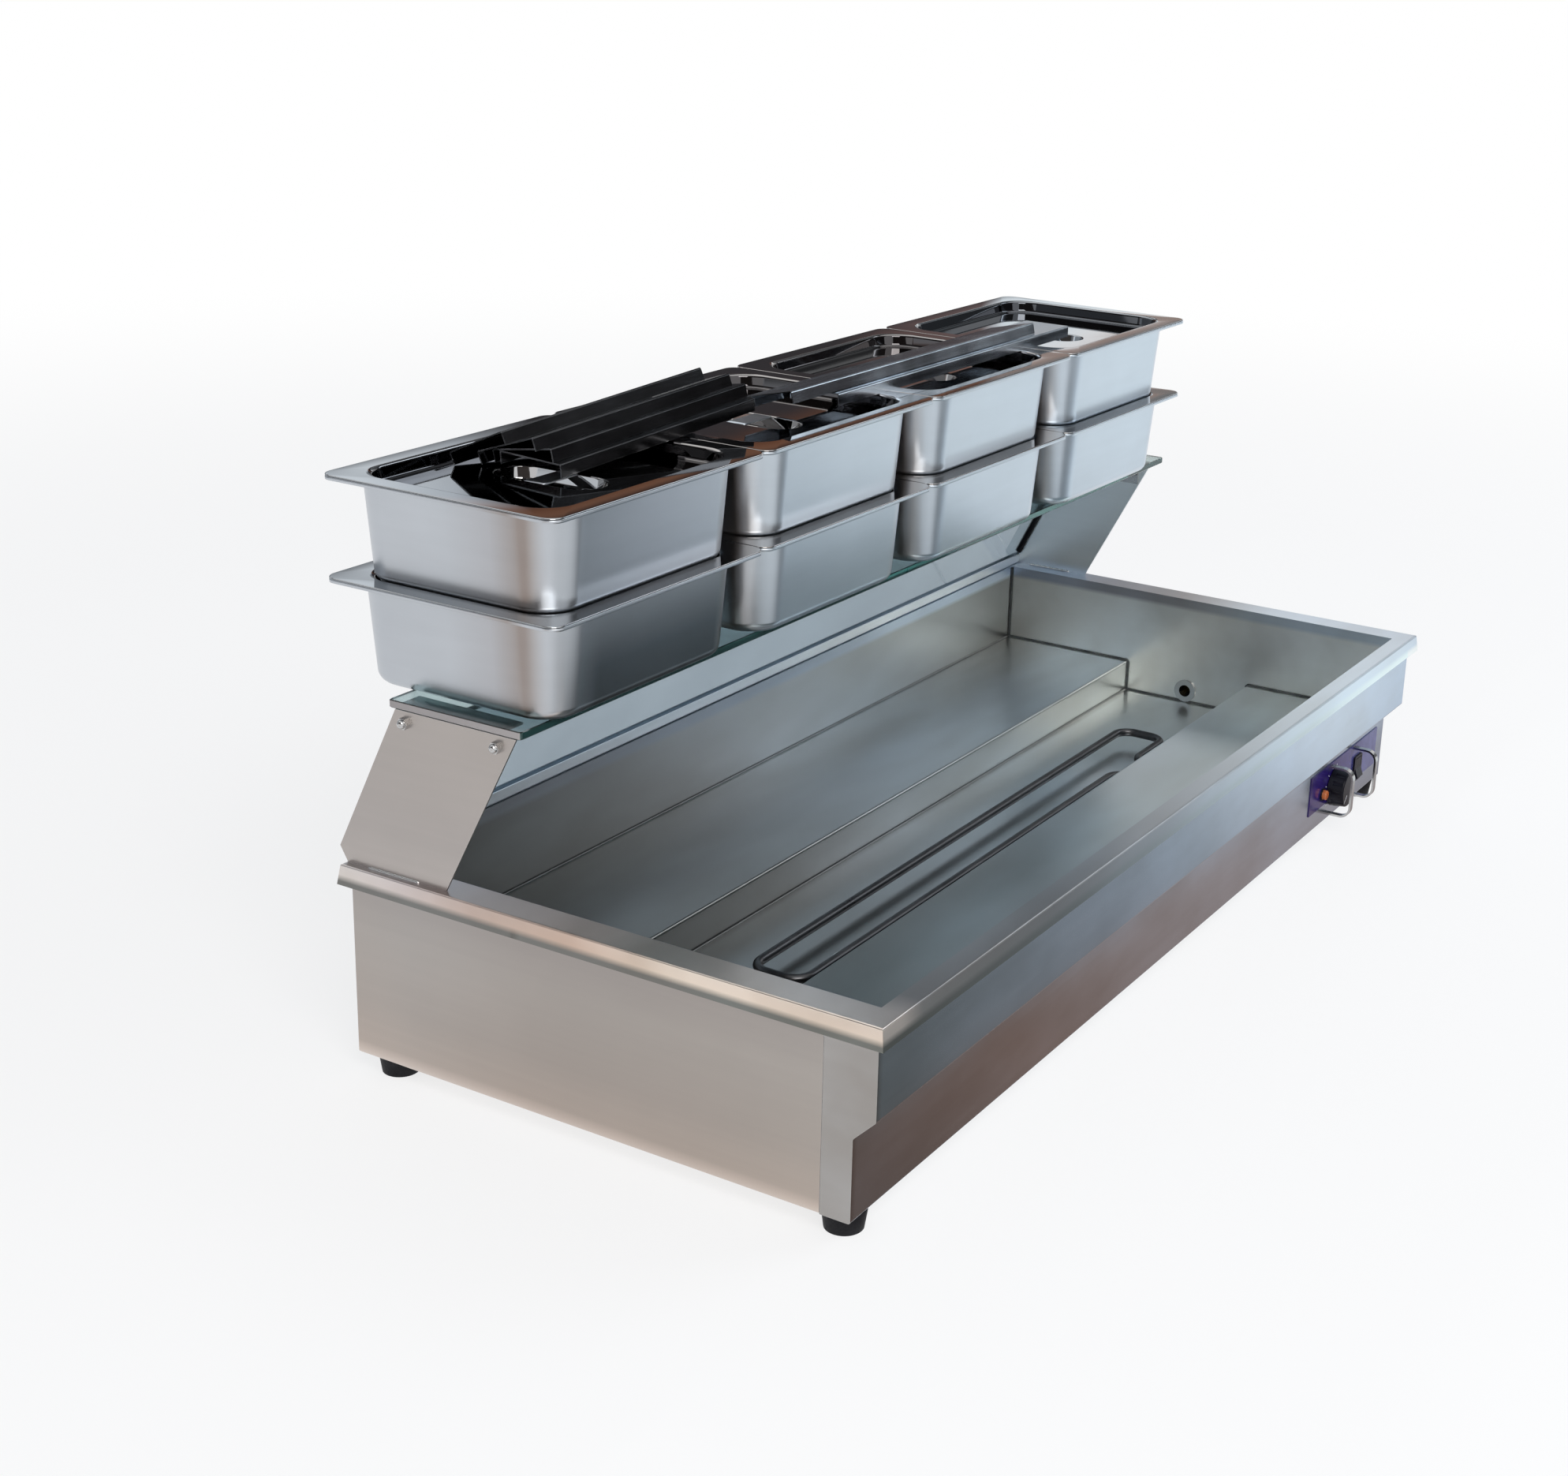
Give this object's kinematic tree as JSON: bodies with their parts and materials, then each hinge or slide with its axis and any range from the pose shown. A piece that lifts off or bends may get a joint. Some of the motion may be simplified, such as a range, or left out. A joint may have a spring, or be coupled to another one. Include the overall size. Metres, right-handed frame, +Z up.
{
  "type": "bain-marie food warmer",
  "caption": "Table-top bain-marie: stepped heated water tank in a sheet-steel casing, sloped brackets with glass shelf and guard, stacked lidded pans and loose support bars.",
  "frame": {"origin": "centre of the tank's footprint, on the counter under the rubber feet", "axes": "+X along the length to the drain end, -Y out of the control side, +Z up"},
  "size_m": [1.4148, 0.609, 0.6387],
  "materials": {
    "casing_steel": "brushed",
    "tank_steel": "satin",
    "pan_steel": "polished",
    "bar_steel": "satin",
    "fitting_steel": "satin",
    "loop_steel": "satin",
    "shelf_glass": "polished",
    "black_rubber": "matt",
    "dark_sealant": "matt",
    "black_plastic": "satin",
    "orange_lens": "gloss",
    "valve_brass": "satin"
  },
  "bodies": {
    "warmer": {"tank": "tank_steel", "seam_sealant": "dark_sealant", "front_panel": "casing_steel", "left_end_panel": "casing_steel", "right_end_panel": "casing_steel", "rear_panel": "casing_steel", "base_plate": "casing_steel", "rubber_feet": "black_rubber", "foot_screws": "fitting_steel", "heating_element": "loop_steel", "element_glands": "fitting_steel", "element_clips": "fitting_steel", "control_plate": "casing_steel", "thermostat_body": "black_plastic", "sensor_bulb": "fitting_steel", "lamp_body": "black_plastic", "lamp_lens": "orange_lens", "switch_housing": "black_plastic", "knob_guard": "fitting_steel", "switch_guard": "fitting_steel", "guard_nuts": "fitting_steel", "cable_gland": "black_plastic", "gland_locknut": "black_plastic", "terminal_block": "black_plastic", "drain_pipe": "fitting_steel", "drain_locknut": "fitting_steel", "drain_valve_body": "valve_brass", "drain_spout": "valve_brass", "left_bracket": "casing_steel", "right_bracket": "casing_steel", "shelf_angles": "casing_steel", "bracket_bolts": "fitting_steel", "cap_nuts": "fitting_steel", "glass_shelf": "shelf_glass", "glass_channel": "casing_steel", "guard_glass": "shelf_glass", "glass_seals": "black_rubber"},
    "knob": {"thermostat_knob": "black_plastic", "thermostat_shaft": "fitting_steel"},
    "rocker": {"switch_rocker": "black_plastic"},
    "lever": {"drain_lever": "fitting_steel", "drain_valve_ball": "valve_brass"},
    "short_bars": {"short_bars": "bar_steel"},
    "long_bars": {"long_bars": "bar_steel"},
    "lower_pan_1": {"lower_pan_1": "pan_steel"},
    "lower_lid_1": {"lower_lid_1": "pan_steel"},
    "upper_pan_1": {"upper_pan_1": "pan_steel"},
    "upper_lid_1": {"upper_lid_1": "pan_steel"},
    "lower_pan_2": {"lower_pan_2": "pan_steel"},
    "lower_lid_2": {"lower_lid_2": "pan_steel"},
    "upper_pan_2": {"upper_pan_2": "pan_steel"},
    "upper_lid_2": {"upper_lid_2": "pan_steel"},
    "lower_pan_3": {"lower_pan_3": "pan_steel"},
    "lower_lid_3": {"lower_lid_3": "pan_steel"},
    "upper_pan_3": {"upper_pan_3": "pan_steel"},
    "upper_lid_3": {"upper_lid_3": "pan_steel"},
    "lower_pan_4": {"lower_pan_4": "pan_steel"},
    "lower_lid_4": {"lower_lid_4": "pan_steel"},
    "upper_pan_4": {"upper_pan_4": "pan_steel"},
    "upper_lid_4": {"upper_lid_4": "pan_steel"}
  },
  "joints": [
    {"name": "thermostat_turn", "type": "hinge", "parent": "warmer", "child": "knob", "pos_m": [0.48, -0.2672, 0.061], "axis": [0, 1, 0], "range_deg": [0, 270]},
    {"name": "switch_tilt", "type": "hinge", "parent": "warmer", "child": "rocker", "pos_m": [0.562, -0.2667, 0.061], "axis": [1, 0, 0], "range_deg": [0, 20]},
    {"name": "drain_turn", "type": "hinge", "parent": "warmer", "child": "lever", "pos_m": [0.69, 0.003, 0.0895], "axis": [0, 0, 1], "range_deg": [0, 90]},
    {"name": "short_bars_lift", "type": "slide", "parent": "warmer", "child": "short_bars", "axis": [0, 0, 1], "range_m": [0, 0.45]},
    {"name": "long_bars_lift", "type": "slide", "parent": "warmer", "child": "long_bars", "axis": [0, 0, 1], "range_m": [0, 0.45]},
    {"name": "lower_pan_1_lift", "type": "slide", "parent": "warmer", "child": "lower_pan_1", "axis": [0, 0, 1], "range_m": [0, 0.09]},
    {"name": "lower_lid_1_lift", "type": "slide", "parent": "lower_pan_1", "child": "lower_lid_1", "axis": [0, 0, 1], "range_m": [0, 0.09]},
    {"name": "upper_pan_1_lift", "type": "slide", "parent": "lower_lid_1", "child": "upper_pan_1", "axis": [0, 0, 1], "range_m": [0, 0.09]},
    {"name": "upper_lid_1_lift", "type": "slide", "parent": "upper_pan_1", "child": "upper_lid_1", "axis": [0, 0, 1], "range_m": [0, 0.09]},
    {"name": "lower_pan_2_lift", "type": "slide", "parent": "warmer", "child": "lower_pan_2", "axis": [0, 0, 1], "range_m": [0, 0.09]},
    {"name": "lower_lid_2_lift", "type": "slide", "parent": "lower_pan_2", "child": "lower_lid_2", "axis": [0, 0, 1], "range_m": [0, 0.09]},
    {"name": "upper_pan_2_lift", "type": "slide", "parent": "lower_lid_2", "child": "upper_pan_2", "axis": [0, 0, 1], "range_m": [0, 0.09]},
    {"name": "upper_lid_2_lift", "type": "slide", "parent": "upper_pan_2", "child": "upper_lid_2", "axis": [0, 0, 1], "range_m": [0, 0.09]},
    {"name": "lower_pan_3_lift", "type": "slide", "parent": "warmer", "child": "lower_pan_3", "axis": [0, 0, 1], "range_m": [0, 0.09]},
    {"name": "lower_lid_3_lift", "type": "slide", "parent": "lower_pan_3", "child": "lower_lid_3", "axis": [0, 0, 1], "range_m": [0, 0.09]},
    {"name": "upper_pan_3_lift", "type": "slide", "parent": "lower_lid_3", "child": "upper_pan_3", "axis": [0, 0, 1], "range_m": [0, 0.09]},
    {"name": "upper_lid_3_lift", "type": "slide", "parent": "upper_pan_3", "child": "upper_lid_3", "axis": [0, 0, 1], "range_m": [0, 0.09]},
    {"name": "lower_pan_4_lift", "type": "slide", "parent": "warmer", "child": "lower_pan_4", "axis": [0, 0, 1], "range_m": [0, 0.09]},
    {"name": "lower_lid_4_lift", "type": "slide", "parent": "lower_pan_4", "child": "lower_lid_4", "axis": [0, 0, 1], "range_m": [0, 0.09]},
    {"name": "upper_pan_4_lift", "type": "slide", "parent": "lower_lid_4", "child": "upper_pan_4", "axis": [0, 0, 1], "range_m": [0, 0.09]},
    {"name": "upper_lid_4_lift", "type": "slide", "parent": "upper_pan_4", "child": "upper_lid_4", "axis": [0, 0, 1], "range_m": [0, 0.09]}
  ],
  "couplings": [
    {"joint": "long_bars_lift", "follows": "short_bars_lift", "ratio": 1},
    {"joint": "lower_pan_1_lift", "follows": "short_bars_lift", "ratio": 0.2},
    {"joint": "lower_lid_1_lift", "follows": "short_bars_lift", "ratio": 0.2},
    {"joint": "upper_pan_1_lift", "follows": "short_bars_lift", "ratio": 0.2},
    {"joint": "upper_lid_1_lift", "follows": "short_bars_lift", "ratio": 0.2},
    {"joint": "lower_pan_2_lift", "follows": "short_bars_lift", "ratio": 0.2},
    {"joint": "lower_lid_2_lift", "follows": "short_bars_lift", "ratio": 0.2},
    {"joint": "upper_pan_2_lift", "follows": "short_bars_lift", "ratio": 0.2},
    {"joint": "upper_lid_2_lift", "follows": "short_bars_lift", "ratio": 0.2},
    {"joint": "lower_pan_3_lift", "follows": "short_bars_lift", "ratio": 0.2},
    {"joint": "lower_lid_3_lift", "follows": "short_bars_lift", "ratio": 0.2},
    {"joint": "upper_pan_3_lift", "follows": "short_bars_lift", "ratio": 0.2},
    {"joint": "upper_lid_3_lift", "follows": "short_bars_lift", "ratio": 0.2},
    {"joint": "lower_pan_4_lift", "follows": "short_bars_lift", "ratio": 0.2},
    {"joint": "lower_lid_4_lift", "follows": "short_bars_lift", "ratio": 0.2},
    {"joint": "upper_pan_4_lift", "follows": "short_bars_lift", "ratio": 0.2},
    {"joint": "upper_lid_4_lift", "follows": "short_bars_lift", "ratio": 0.2}
  ]
}
